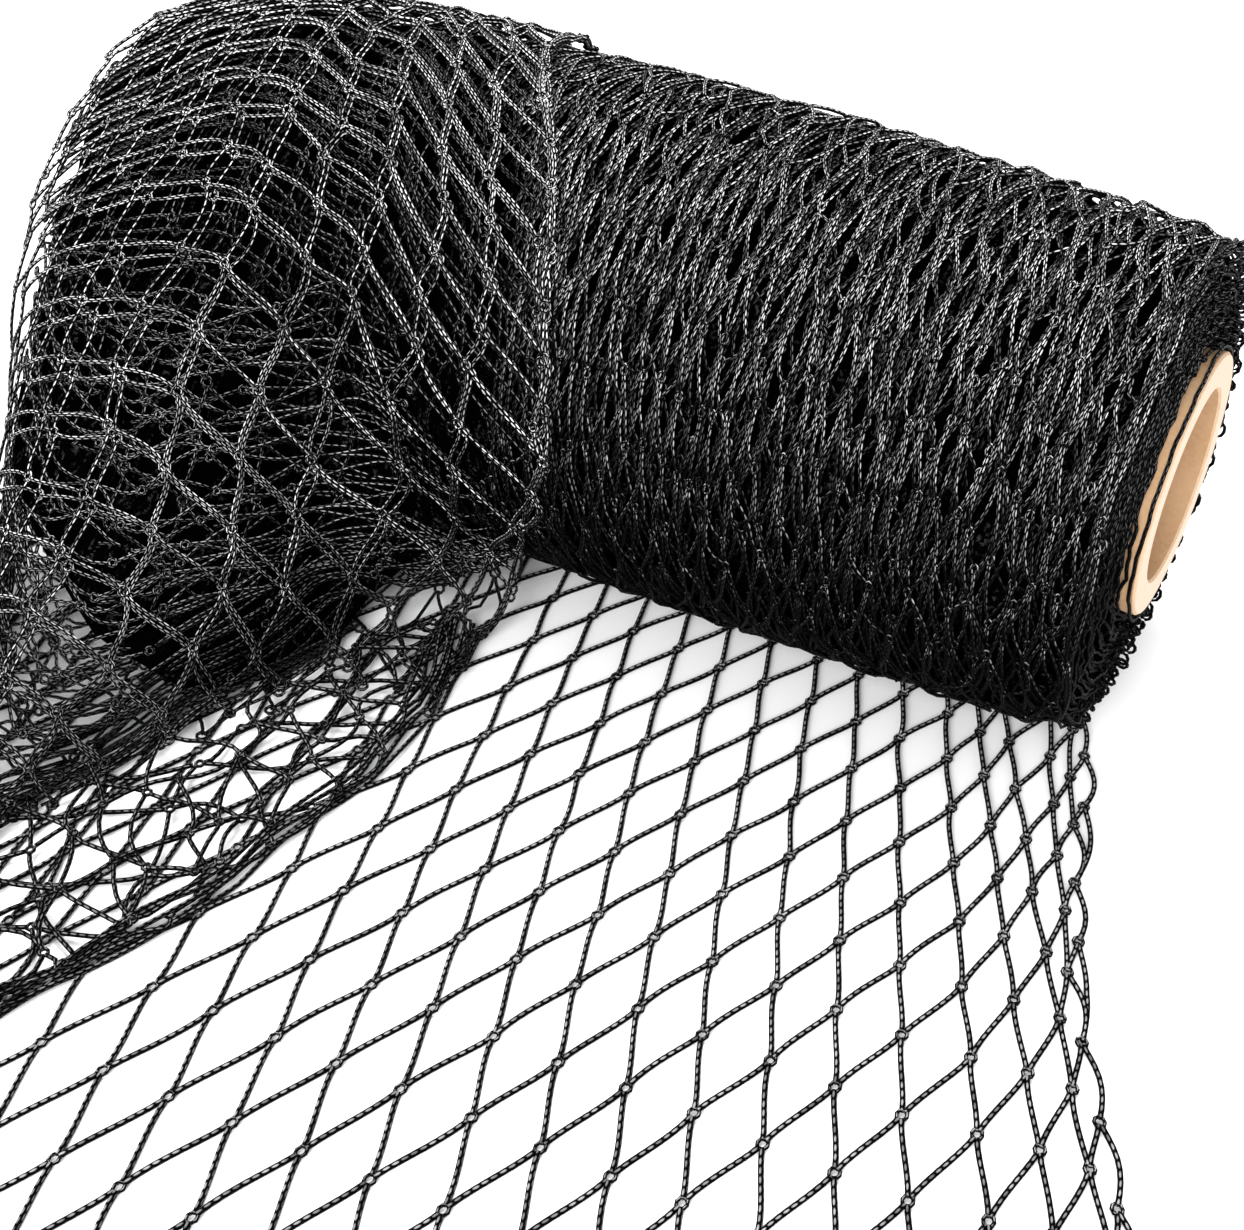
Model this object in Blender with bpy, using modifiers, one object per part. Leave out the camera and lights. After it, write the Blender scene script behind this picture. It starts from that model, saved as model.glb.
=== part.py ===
"""Bird netting roll: a cardboard core, the net wound on it, its loose end laid out flat in
front, and the outer turn pulled off over the roll's left half and down to the floor.

Metres, +Z up. X runs along the roll, from the covered end (-X) to the open end (+X), and -Y
is the side on which the net comes off. The origin is on the floor, under the middle of the
roll. The net is cut at twice its real mesh, so each opening here stands for four real ones.
"""
import math
from collections import namedtuple

import bmesh
import bpy

MM = 0.001
GAP = 0.3 * MM                   # between two pieces that touch on the real object

# Driving dimensions
CORE_LENGTH = 300 * MM
CORE_OUTER_R = 35 * MM
CORE_BORE_R = 25.5 * MM
CORE_EDGE = 0.6 * MM             # bevel on the tube's cut edges
CORE_STEPS = 72
WOUND_LENGTH = 282 * MM          # rim to rim
AXIS_HEIGHT = 71 * MM            # the middle of the winding above the floor
CORE_RISE = 4 * MM               # the core sits a little above the middle of the slack turns
MESH_SIDE = 19 * MM              # one bar of the real net, knot to knot
MESH_SCALE = 2                   # bars here against bars of the real net
MESH_SPREAD = 0.381              # half a mesh's width over its bar, where the net lies open
BAR = 2 * MM                     # width and thickness of a bar of the coarser net

# The wound net: its surface rises at the knots of the closed meshes
WOUND_STEPS = 36                 # round the roll
WOUND_RELIEF = 1.4 * MM
RELIEF_PITCH = 20 * MM           # along the roll
RELIEF_ROWS = 6                  # round the roll
RELIEF_SAMPLES = 4               # rings to a pitch
FLAT_SNAP = 0.7 * MM             # what lies this near the floor is pressed flat on it

WoundRow = namedtuple("WoundRow", "x radius")
WOUND_OUTLINE = [                # both ends are drawn in, as on a barrel
    WoundRow(-141 * MM, 63.5 * MM),
    WoundRow(-136 * MM, 65.5 * MM),
    WoundRow(-110 * MM, 69.0 * MM),
    WoundRow(-70 * MM, 71.5 * MM),
    WoundRow(-20 * MM, 72.5 * MM),
    WoundRow(40 * MM, 71.5 * MM),
    WoundRow(100 * MM, 69.0 * MM),
    WoundRow(135 * MM, 66.5 * MM),
    WoundRow(141 * MM, 64.5 * MM),
]
TurnEdge = namedtuple("TurnEdge", "radius bulge")
TURN_EDGES = [                   # rings of turns that bulge past the rim, from outside in
    TurnEdge(60 * MM, 1.6 * MM),
    TurnEdge(53 * MM, 3.9 * MM),
    TurnEdge(46 * MM, 3.6 * MM),
    TurnEdge(40 * MM, 5.2 * MM),
]
BORE_BULGE = 4.6 * MM            # of the innermost turn

# The laid-out sheet
APRON_LEFT = -200 * MM
APRON_BACK = -24 * MM            # where it runs in under the roll
APRON_ROWS = 8                   # half meshes from back to front
APRON_COLUMNS = 21               # half meshes at full width, from the left edge
APRON_FAN_COLUMNS = 7            # half meshes drawn together where they meet the roll
EdgeRow = namedtuple("EdgeRow", "y x")
APRON_RIGHT = [                  # the selvedge on the right
    EdgeRow(-310 * MM, 205 * MM),
    EdgeRow(-200 * MM, 203 * MM),
    EdgeRow(-148 * MM, 195 * MM),
    EdgeRow(-112 * MM, 178 * MM),
    EdgeRow(-77 * MM, 163 * MM),
    EdgeRow(-44 * MM, 152 * MM),
    EdgeRow(-24 * MM, 144 * MM),
]

# The loosened turn: one section for each row, across the roll's axis. It starts behind the
# roll, follows it over the top to leave_deg, falls in a bow to foot_y and runs on to front_y.
DRAPE_BACK_DEG = -72             # from the top of the roll, towards the back
DRAPE_COLUMNS = 11               # half meshes from the right edge to the left
DRAPE_ROWS = 14                  # half meshes from back to front
DRAPE_STEPS = 2                  # pieces to a bar, so that it follows the bend
SECTION_STEPS = 24               # points to each stretch of a section
RIPPLE = 2.2 * MM                # waves of the slack net, growing from RIPPLE_START forward
RIPPLE_START = -80 * MM
RIPPLE_GROWTH = 70 * MM
RIPPLE_ACROSS = 57 * MM          # from one wave to the next, along the roll
RIPPLE_AHEAD = 94 * MM           # and from back to front
DrapeRow = namedtuple("DrapeRow", "x radius leave_deg crown flare foot_y front_y")
DRAPE_SECTIONS = [
    DrapeRow(-172 * MM, 61.5 * MM, 14, 0.50, 0.08, -114 * MM, -206 * MM),
    DrapeRow(-150 * MM, 65.5 * MM, 20, 0.50, 0.12, -158 * MM, -238 * MM),
    DrapeRow(-128 * MM, 69.0 * MM, 30, 0.48, 0.16, -188 * MM, -255 * MM),
    DrapeRow(-98 * MM, 72.6 * MM, 44, 0.44, 0.20, -203 * MM, -260 * MM),
    DrapeRow(-80 * MM, 73.8 * MM, 56, 0.42, 0.24, -186 * MM, -260 * MM),
    DrapeRow(-66 * MM, 74.4 * MM, 72, 0.40, 0.26, -150 * MM, -258 * MM),
    DrapeRow(-54 * MM, 74.8 * MM, 90, 0.40, 0.28, -116 * MM, -257 * MM),
    DrapeRow(-40 * MM, 75.0 * MM, 108, 0.40, 0.30, -92 * MM, -256 * MM),
    DrapeRow(-5 * MM, 75.0 * MM, 124, 0.40, 0.30, -78 * MM, -254 * MM),
]
DRAPE_RIGHT = [                  # its right edge: the crease on the roll, then the hem
    EdgeRow(-255 * MM, -52 * MM),
    EdgeRow(-221 * MM, -36 * MM),
    EdgeRow(-180 * MM, -23 * MM),
    EdgeRow(-134 * MM, -16 * MM),
    EdgeRow(-105 * MM, -15 * MM),
    EdgeRow(-86 * MM, -19 * MM),
    EdgeRow(-77 * MM, -11 * MM),
    EdgeRow(-68 * MM, -1 * MM),
    EdgeRow(-55 * MM, -5 * MM),
    EdgeRow(-40 * MM, -13 * MM),
    EdgeRow(-20 * MM, -26 * MM),
    EdgeRow(6 * MM, -42 * MM),
    EdgeRow(75 * MM, -62 * MM),
]
DRAPE_LEFT = [                   # its left edge hangs free past the end of the core
    EdgeRow(-255 * MM, -152 * MM),
    EdgeRow(-110 * MM, -170 * MM),
    EdgeRow(-60 * MM, -177 * MM),
    EdgeRow(0 * MM, -176 * MM),
    EdgeRow(75 * MM, -164 * MM),
]

HALF_WIDTH = MESH_SCALE * MESH_SIDE * MESH_SPREAD
HALF_LENGTH = MESH_SCALE * MESH_SIDE * math.sqrt(1 - MESH_SPREAD ** 2)
DRAPE_LOW = BAR + GAP + BAR / 2  # the loosened turn's middle where it lies on the laid-out sheet


def clear_scene():
    for thing in list(bpy.data.objects):
        bpy.data.objects.remove(thing, do_unlink=True)


def new_material(name, colour, roughness):
    material = bpy.data.materials.new(name)
    material.use_nodes = True
    shader = material.node_tree.nodes["Principled BSDF"]
    shader.inputs["Base Color"].default_value = (*colour, 1)
    shader.inputs["Roughness"].default_value = roughness
    shader.inputs["Metallic"].default_value = 0
    return material


def new_object(name, bm, collection, material):
    mesh = bpy.data.meshes.new(name)
    bm.to_mesh(mesh)
    bm.free()
    mesh.materials.append(material)
    thing = bpy.data.objects.new(name, mesh)
    collection.objects.link(thing)
    return thing


def read_table(rows, at, key, column):
    """A smooth curve through a table's column, held level past its first and last row."""
    first, last = rows[0], rows[-1]
    at = min(max(at, getattr(first, key)), getattr(last, key))
    places = [getattr(row, key) for row in rows]
    values = [getattr(row, column) for row in rows]
    i = max(k for k in range(len(rows) - 1) if places[k] <= at)

    def slope(k):
        low, high = max(k - 1, 0), min(k + 1, len(rows) - 1)
        return (values[high] - values[low]) / (places[high] - places[low])

    span = places[i + 1] - places[i]
    t = (at - places[i]) / span
    rise = values[i + 1] - values[i]
    pull = t * (1 - t) * ((1 - t) * (slope(i) * span - rise) - t * (slope(i + 1) * span - rise))
    return values[i] + rise * t + pull


# ---------------------------------------------------------------- core

def make_core(collection, material):
    """The tube, turned from the outline of its wall."""
    half = CORE_LENGTH / 2
    wall = [
        (CORE_OUTER_R - CORE_EDGE, half), (CORE_OUTER_R, half - CORE_EDGE),
        (CORE_OUTER_R, CORE_EDGE - half), (CORE_OUTER_R - CORE_EDGE, -half),
        (CORE_BORE_R + CORE_EDGE, -half), (CORE_BORE_R, CORE_EDGE - half),
        (CORE_BORE_R, half - CORE_EDGE), (CORE_BORE_R + CORE_EDGE, half),
    ]
    bm = bmesh.new()
    corners = [bm.verts.new((radius, 0, z)) for radius, z in wall]
    for corner, following in zip(corners, corners[1:] + corners[:1]):
        bm.edges.new((corner, following))
    core = new_object("core", bm, collection, material)
    turn = core.modifiers.new("turn", "SCREW")
    turn.steps = turn.render_steps = CORE_STEPS
    turn.use_merge_vertices = True
    turn.merge_threshold = 0.01 * MM
    core.rotation_euler = (0, math.pi / 2, 0)
    core.location = (0, 0, AXIS_HEIGHT + CORE_RISE)
    return core


# ---------------------------------------------------------------- wound net

def wound_radius(x, angle):
    """The winding's outer radius, with the knots of the closed meshes standing a little proud."""
    along = math.cos(2 * math.pi * x / RELIEF_PITCH)
    around = math.cos(RELIEF_ROWS * angle)
    return read_table(WOUND_OUTLINE, x, "x", "radius") - WOUND_RELIEF * (1 - along * around) / 2


def wound_ring(bm, x, radius_at, rise=0.0):
    """A ring of points round the axis. What would reach below the floor lies flat on it."""
    ring = []
    for step in range(WOUND_STEPS):
        angle = 2 * math.pi * step / WOUND_STEPS
        radius = radius_at(angle)
        z = AXIS_HEIGHT + rise - radius * math.cos(angle)
        ring.append(bm.verts.new((x, radius * math.sin(angle), 0 if z < FLAT_SNAP else z)))
    return ring


def end_rings(bm, side, bore):
    """The rings of one end of the winding, from the rim in to the bore."""
    rings = []
    rim = TURN_EDGES[0].radius
    for radius, bulge in [*TURN_EDGES, (bore, BORE_BULGE)]:
        rise = CORE_RISE * (rim - radius) / (rim - bore)
        x = side * (WOUND_LENGTH / 2 + bulge)
        rings.append(wound_ring(bm, x, lambda angle, radius=radius: radius, rise))
    return rings


def make_wound_net(collection, material):
    """A loft of rings: along the outside, in over one end, back through the bore and out over
    the other end."""
    bore = (CORE_OUTER_R + GAP) / math.cos(math.pi / WOUND_STEPS)
    count = round(WOUND_LENGTH / RELIEF_PITCH * RELIEF_SAMPLES)
    bm = bmesh.new()
    loft = []
    for step in range(count + 1):
        x = WOUND_LENGTH * (step / count - 0.5)
        loft.append(wound_ring(bm, x, lambda angle, x=x: wound_radius(x, angle)))
    loft += end_rings(bm, 1, bore)
    loft += end_rings(bm, -1, bore)[::-1]
    for ring, following in zip(loft, loft[1:] + loft[:1]):
        for step in range(WOUND_STEPS):
            after = (step + 1) % WOUND_STEPS
            bm.faces.new((ring[step], ring[after], following[after], following[step]))
    bmesh.ops.recalc_face_normals(bm, faces=bm.faces)
    return new_object("wound_net", bm, collection, material)


# ---------------------------------------------------------------- net sheets

# The bars that leave a knot, as steps in columns and rows, and each one's name at its other end
ARMS = {"front_right": (1, 1), "front_left": (-1, 1), "front": (0, 2)}
FAR_END = {"front_right": "back_left", "front_left": "back_right", "front": "back"}


def knot_sides(column, row, columns):
    """A knot's corners in order, and the side from which each bar leaves it. A knot on a side
    edge also has the selvedge bars, in front and behind."""
    wide = BAR / 2 / math.sin(math.acos(MESH_SPREAD)) / HALF_WIDTH
    long = BAR / 2 / MESH_SPREAD / HALF_LENGTH
    left, right = (column - wide, row), (column + wide, row)
    front, back = (column, row + long), (column, row - long)
    if 0 < column < columns:
        corners = [right, front, left, back]
        names = ["front_right", "front_left", "back_left", "back_right"]
    else:
        half = wide if column == 0 else -wide
        inner = right if column == 0 else left
        corners = [inner, (column + half, row + long), (column - half, row + long),
                   (column - half, row - long), (column + half, row - long)]
        names = ["front_right", "front", None, "back", "back_right"]
        if column == columns:
            corners.reverse()
            names = ["back", None, "front", "front_left", "back_left"]
    sides = dict(zip(names, zip(corners, corners[1:] + corners[:1])))
    return corners, sides


def make_net(name, columns, rows, point, steps, collection, material):
    """A net of knots and bars, closed by a selvedge bar down each side edge. point gives the
    place of a column and row, both counted in half meshes."""
    bm = bmesh.new()
    made = {}

    def vertex(place):
        key = (round(place[0], 6), round(place[1], 6))
        if key not in made:
            made[key] = bm.verts.new(point(*place))
        return made[key]

    knots = {(column, row): knot_sides(column, row, columns)
             for column in range(columns + 1) for row in range(rows + 1) if (column + row) % 2 == 0}
    for (column, row), (corners, sides) in knots.items():
        bm.faces.new([vertex(corner) for corner in corners])
        for arm, (across, on) in ARMS.items():
            far = knots.get((column + across, row + on))
            if arm not in sides or far is None:
                continue
            near_rail, far_rail = sides[arm], far[1][FAR_END[arm]][::-1]
            rails = [[lerp(a, b, k / steps) for k in range(steps + 1)]
                     for a, b in zip(near_rail, far_rail)]
            for a, b, c, d in zip(rails[0], rails[0][1:], rails[1][1:], rails[1]):
                bm.faces.new([vertex(place) for place in (a, b, c, d)])
    bmesh.ops.recalc_face_normals(bm, faces=bm.faces)
    net = new_object(name, bm, collection, material)
    thick = net.modifiers.new("thickness", "SOLIDIFY")
    thick.thickness = BAR
    thick.offset = 0
    thick.use_even_offset = True
    return net


def lerp(a, b, t):
    return a[0] + (b[0] - a[0]) * t, a[1] + (b[1] - a[1]) * t


def apron_point(column, row):
    """Flat on the floor: even meshes, then columns that share out what is left up to the right
    edge, so they are drawn together where they run in under the roll."""
    y = APRON_BACK - row * HALF_LENGTH
    x = APRON_LEFT + min(column, APRON_COLUMNS) * HALF_WIDTH
    if column > APRON_COLUMNS:
        share = (column - APRON_COLUMNS) / APRON_FAN_COLUMNS
        x += share * (read_table(APRON_RIGHT, y, "y", "x") - x)
    return x, y, BAR / 2


def drape_section(row_x):
    """Points (y, z) of the loosened turn where it crosses the roll at row_x, from back to front."""
    radius, leave, crown, flare, foot, front = (
        read_table(DRAPE_SECTIONS, row_x, "x", column) for column in DrapeRow._fields[1:])
    start, end = math.radians(DRAPE_BACK_DEG), math.radians(leave)
    line = []
    for step in range(SECTION_STEPS):
        angle = start + (end - start) * step / SECTION_STEPS
        line.append((-radius * math.sin(angle), AXIS_HEIGHT + radius * math.cos(angle)))
    y0, z0 = -radius * math.sin(end), AXIS_HEIGHT + radius * math.cos(end)
    reach = math.hypot(foot - y0, DRAPE_LOW - z0)
    y1, z1 = y0 - crown * reach * math.cos(end), z0 - crown * reach * math.sin(end)
    y2, z2 = foot + flare * reach, DRAPE_LOW
    for step in range(SECTION_STEPS):
        t = step / SECTION_STEPS
        a, b, c, d = (1 - t) ** 3, 3 * t * (1 - t) ** 2, 3 * t * t * (1 - t), t ** 3
        line.append((a * y0 + b * y1 + c * y2 + d * foot, a * z0 + b * z1 + c * z2 + d * DRAPE_LOW))
    for step in range(SECTION_STEPS + 1):
        line.append((foot + (front - foot) * step / SECTION_STEPS, DRAPE_LOW))
    return line


def along(line, share):
    """The point at a share of a line's length."""
    lengths = [math.dist(a, b) for a, b in zip(line, line[1:])]
    left = share * sum(lengths)
    for (y0, z0), (y1, z1), length in zip(line, line[1:], lengths):
        if left <= length or (y1, z1) == line[-1]:
            t = min(left / length, 1)
            return y0 + (y1 - y0) * t, z0 + (z1 - z0) * t
        left -= length
    return line[-1]


def drape_point(column, row):
    """Columns count from the right edge to the left one, rows from the back edge to the front."""
    across = column / DRAPE_COLUMNS
    left, right = DRAPE_SECTIONS[0].x, DRAPE_SECTIONS[-1].x
    y, z = along(drape_section(right + (left - right) * across), row / DRAPE_ROWS)
    edge = read_table(DRAPE_RIGHT, y, "y", "x")
    x = edge + (read_table(DRAPE_LEFT, y, "y", "x") - edge) * across
    slack = min(max((RIPPLE_START - y) / RIPPLE_GROWTH, 0), 1)
    wave = math.sin(2 * math.pi * (x / RIPPLE_ACROSS + y / RIPPLE_AHEAD))
    return x, y, z + RIPPLE * slack * (1 + wave)


# ---------------------------------------------------------------- the roll

def main():
    clear_scene()
    parts = bpy.data.collections.new("bird_netting_roll")
    bpy.context.scene.collection.children.link(parts)
    cardboard = new_material("cardboard", (0.62, 0.44, 0.27), 0.85)
    netting = new_material("black_netting", (0.018, 0.018, 0.02), 0.45)
    make_core(parts, cardboard)
    make_wound_net(parts, netting)
    make_net("net_apron", APRON_COLUMNS + APRON_FAN_COLUMNS, APRON_ROWS, apron_point, 1, parts, netting)
    make_net("net_drape", DRAPE_COLUMNS, DRAPE_ROWS, drape_point, DRAPE_STEPS, parts, netting)


main()
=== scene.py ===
"""Looks of the bird netting roll: knotted black twine, a cardboard core, floor, light, camera.

Metres, +Z up, in the frame of the part: X runs along the roll, towards the open end, and -Y is
the side on which the net comes off. Every net is a lattice of knots, counted in half meshes
across (c) and along (q) the net, which is laid on a surface and drawn as tubes of twine.
"""

import math
from collections import namedtuple

import bpy
import numpy as np
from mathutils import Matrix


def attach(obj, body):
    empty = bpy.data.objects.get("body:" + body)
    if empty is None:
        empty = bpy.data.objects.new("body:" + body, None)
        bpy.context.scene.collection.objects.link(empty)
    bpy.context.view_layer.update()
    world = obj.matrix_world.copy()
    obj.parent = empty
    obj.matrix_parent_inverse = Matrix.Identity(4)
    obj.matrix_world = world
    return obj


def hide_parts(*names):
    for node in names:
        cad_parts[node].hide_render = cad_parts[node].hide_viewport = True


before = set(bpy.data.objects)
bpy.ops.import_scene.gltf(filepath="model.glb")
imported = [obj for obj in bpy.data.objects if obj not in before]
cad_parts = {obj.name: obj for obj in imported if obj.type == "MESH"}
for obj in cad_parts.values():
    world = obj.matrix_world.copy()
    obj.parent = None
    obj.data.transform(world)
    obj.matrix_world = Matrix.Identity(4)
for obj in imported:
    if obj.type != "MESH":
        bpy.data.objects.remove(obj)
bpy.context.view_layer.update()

MM = 0.001


def in_mm(kind, rows, plain=""):
    """The rows of a table that is written in mm, apart from its plain columns."""
    units = [1 if name in plain.split() else MM for name in kind._fields]
    return [kind(*(number * unit for number, unit in zip(row, units))) for row in rows]


# Twine
TWINE_R = 0.54 * MM
INNER_R = 0.50 * MM              # where it is drawn tight
LAID_R = 0.73 * MM               # where the net lies slack on the floor
SLACK_R = 0.66 * MM              # and in the loose heap on it
TWINE_SIDES = 5
STITCH = 2.3 * MM                # from one stitch of the twine to the next
KNOT_LONG = 1.15 * MM            # half a knot's length, along the net
KNOT_WIDE = 1.1 * MM             # half its width
KNOT_R = 0.5 * MM
KNOT_STEPS = 8
TRIM = 0.05                      # share of a bar that its knot takes, at either end
MESH_SIDE = 19 * MM              # one bar, knot to knot
LAID_WIDTH = 7.24 * MM           # half a mesh, where the net lies open
SLACK_WIDTH = 5.5 * MM           # and where it hangs slack

# The roll, as in the part
AXIS_HEIGHT = 71 * MM
CORE_RISE = 4 * MM
CORE_OUTER_R = 35 * MM
WOUND_HALF = 141 * MM
WoundRow = namedtuple("WoundRow", "x radius")
WOUND_OUTLINE = in_mm(WoundRow, [
    (-141, 63.5), (-136, 65.5), (-110, 69.0), (-70, 71.5), (-20, 72.5), (40, 71.5), (100, 69.0),
    (135, 66.5), (141, 64.5),
])
TurnEdge = namedtuple("TurnEdge", "radius bulge")
TURN_EDGES = in_mm(TurnEdge, [(60, 1.6), (53, 3.9), (46, 3.6), (40, 5.2), (35.4, 4.6)])

# The loosened turn, as in the part
DRAPE_LOW = 3.3 * MM
DRAPE_BACK_DEG = -72
SECTION_STEPS = 24
RIPPLE = 2.2 * MM
RIPPLE_START = -80 * MM
RIPPLE_GROWTH = 70 * MM
RIPPLE_ACROSS = 57 * MM
RIPPLE_AHEAD = 94 * MM
DrapeRow = namedtuple("DrapeRow", "x radius leave_deg crown flare foot_y front_y")
DRAPE_SECTIONS = in_mm(DrapeRow, [
    (-172, 61.5, 14, 0.50, 0.08, -114, -206),
    (-150, 65.5, 20, 0.50, 0.12, -158, -238),
    (-128, 69.0, 30, 0.48, 0.16, -188, -255),
    (-98, 72.6, 44, 0.44, 0.20, -203, -260),
    (-80, 73.8, 56, 0.42, 0.24, -186, -260),
    (-66, 74.4, 72, 0.40, 0.26, -150, -258),
    (-54, 74.8, 90, 0.40, 0.28, -116, -257),
    (-40, 75.0, 108, 0.40, 0.30, -92, -256),
    (-5, 75.0, 124, 0.40, 0.30, -78, -254),
], plain="leave_deg crown flare")
EdgeRow = namedtuple("EdgeRow", "y x")
DRAPE_RIGHT = in_mm(EdgeRow, [
    (-255, -52), (-221, -36), (-180, -23), (-134, -16), (-105, -15), (-86, -19), (-77, -11),
    (-68, -1), (-55, -5), (-40, -13), (-20, -26), (6, -42), (75, -62),
])
DRAPE_LEFT = in_mm(EdgeRow, [(-255, -152), (-110, -170), (-60, -177), (0, -176), (75, -164)])

# How far its right edge strays along the roll on its way down, which the part leaves out
SlideRow = namedtuple("SlideRow", "z x")
EDGE_SLIDE = in_mm(SlideRow, [
    (6, -18), (12, -18), (26, -13.8), (37, -9.3), (53, 3.5), (64, 9.8), (76, 11.5), (93, 7.0),
    (110, 0.6), (126, 0.0),
])
SLIDE_SHARE = 0.32               # of the loosened turn's width that strays with its edge
SLIDE_LIFT = (5 * MM, 25 * MM)           # heights from which it strays, in front of the roll
SLIDE_NEAR_Y = (-84 * MM, -72 * MM)      # and where it does so down to the floor

# The laid-out sheet, in mm: its rows start under the roll and slant and grow towards the front,
# and its columns grow too
APRON_Y, APRON_ROW, APRON_ROW_GROWTH, APRON_SLANT = 65.3, 17.5, 0.3, 0.123
APRON_X, APRON_COLUMN, APRON_COLUMN_GROWTH = 108.5, 7.3, 0.18
APRON_LEFT = -203
APRON_RIGHT = 216
APRON_EVEN = -18                 # the last column of even meshes
APRON_LAST = -43                 # and the column at its left edge
APRON_ROWS = (-4, 11)
APRON_BULGE = 2.6 * MM           # of the bars down its side edges
# In mm: by which knots are drawn in and back, c - q half meshes out, and how much more for each
# row further from the roll
Drawn = namedtuple("Drawn", "gather drawn growth back turn")
APRON_DRAWN = [Drawn(*row) for row in [
    (0, 0.2, 0.0, 0.0, 0.0),
    (2, 0.6, 0.0, 0.0, 0.5),
    (4, 3.8, 0.0, 0.0, 0.9),
    (6, 9.0, 0.0, 0.0, 0.9),
    (8, 14.2, 1.6, -1.2, -0.4),
    (10, 22.0, 2.15, -7.5, -1.5),
    (12, 29.5, 2.2, -17.0, -2.3),
    (14, 37.0, 2.2, -28.0, -4.0),
]]

# Layers of the winding: half a mesh's width, how deep they lie over the top and below, how deep
# in the tight band down the front, and how far shifted, in half meshes or bars
WoundLayer = namedtuple("WoundLayer", "width sink tight_sink across round")
WOUND_LAYERS = in_mm(WoundLayer, [
    (2.5, 1.1, 0.4, 0.0, 0.0),
    (5.0, 0.4, 1.7, 0.0, 0.4),
    (2.5, 1.8, 1.0, 0.5, 0.55),
    (5.0, 0.9, 2.2, 1.0, 0.85),
    (5.0, 2.4, 2.7, 0.5, 0.2),
], plain="across round")
WHOLE_LAYERS = 2                 # the others are left out at the roll's back, where they hardly show
TIGHT_BAND_DEG = (5, 25, 75, 95)     # round from the top, towards -Y
ROUND = 24                       # bars round the roll
FURROW = 1.05 * MM               # the strands lie in bundles, 2 pi times this apart
BODY_SINK = 3.2 * MM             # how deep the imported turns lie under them

# The loosened turn's net, on its surface: u from the right edge to the left, v from back to front.
# For column a the u of the knots, high on the slope and five bars lower; for bar b their v, the
# net being drawn together over the top
HoodAcross = namedtuple("HoodAcross", "a upper lower")
HOOD_ACROSS = [HoodAcross(*row) for row in [
    (-8, 1.30, 1.38), (-4, 0.86, 0.90), (-2, 0.646, 0.642), (-1, 0.54, 0.51), (0, 0.433, 0.404),
    (1, 0.333, 0.333), (2, 0.229, 0.275), (4, 0.03, 0.155), (6, -0.15, 0.045), (8, -0.35, -0.07),
]]
HoodDown = namedtuple("HoodDown", "b v")
HOOD_DOWN = [HoodDown(*row) for row in [
    (-18, -0.12), (-4, 0.296), (-2, 0.348), (0, 0.415),
    (7, 0.733), (13, 1.01), (16, 1.15),
]]
HOOD_U = (-0.13, 1.02)           # the knots between these are kept
HOOD_PAST_FOOT = 0.06            # and go on this far past its foot, in v

# Its layers: how deep each lies, its shift in a and b, how much it parts from the outer one to the
# left, and its reach in v
HoodLayer = namedtuple("HoodLayer", "offset shift stray v_range seed")
HOOD_OUTER = HoodLayer(0.0, (0, 0), 0.0, (-0.01, 1.01), 41)
HOOD_LAYERS = [
    HoodLayer(0.9 * MM, (0.08, 0.07), 0.09, (-0.01, 1.01), 41),
    HoodLayer(5.0 * MM, (0.42, 0.33), 0.0, (0.0, 1.01), 51),
    HoodLayer(3.4 * MM, (0.72, 0.62), 0.0, (0.0, 0.46), 52),
    HoodLayer(6.4 * MM, (0.22, 0.85), 0.0, (0.0, 0.50), 53),
]

# Folds gathered inside it, which run along the roll
GATHER_DOWN = 5 * MM             # from one row to the next, down the slope
GATHER_ALONG = 18 * MM           # from one knot to the next, along the roll
DRAPE_WIDTH = 168 * MM           # of the loosened turn's surface, roughly
DRAPE_LENGTH = 430 * MM
GatheredLayer = namedtuple("GatheredLayer", "offset rows")
GATHERED_LAYERS = [
    GatheredLayer(4.5 * MM, (-14, 22)),
    GatheredLayer(7.0 * MM, (-12, 21)),
    GatheredLayer(2.5 * MM, (2, 24)),
]

# How far down that surface the dark inner turns reach
MASS_EDGE_U = (0.03, 0.20, 0.26, 0.375, 0.525, 0.725, 0.95)
MASS_EDGE_V = (0.545, 0.580, 0.655, 0.715, 0.705, 0.660, 0.625)
MASS_DEPTH = 9 * MM
MASS_THICKNESS = 8 * MM

# The roll's ends
RING_RADII = (37.6 * MM, 66 * MM)
RING_PITCH = 1.5 * MM            # from one turn to the next
CORE_STRAND_INSETS = (0.9 * MM, 3.6 * MM, 5.2 * MM)      # from the core's cut end
LOOP_RADII = (39.5 * MM, 44 * MM, 49 * MM, 54 * MM, 59 * MM, 63 * MM)
LOOP_PITCH = 6.5 * MM            # from one loop of a turn's edge to the next
LOOP_OUT = 3.6 * MM
LOOP_CURL = 2.8 * MM
CORE_END = 150 * MM

# The slack net on the floor: loose layers, each turned and lifted differently
PoolLayer = namedtuple("PoolLayer", "turn_deg x y lift")
POOL_LAYERS = in_mm(PoolLayer, [
    (-24, -100, -200, 0.8),
    (22, -94, -206, 2.2),
    (63, -105, -195, 3.6),
], plain="turn_deg")
POOL_WIDTH = 11.5 * MM           # half a mesh, wide open
POOL_FRONT = -257 * MM
POOL_LEFT = -196 * MM
POOL_UNDER = 16 * MM             # how far it goes on under the loosened turn's foot
POOL_START = [(-28 * MM, -68 * MM), (-22 * MM, -85 * MM)]        # (x, y) where its edge starts
POOL_RIGHT_Y = (-255 * MM, -100 * MM)    # between these it follows the loosened turn's edge
POOL_CORNER = [(-64 * MM, -258 * MM), (-110 * MM, -260 * MM), (-172 * MM, -240 * MM)]
FOLD_BACK = 1.15                 # net past that edge is moved back by this much of how far past
HEM_STRANDS = 5
HEM_SWAY = 1.2 * MM

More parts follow.
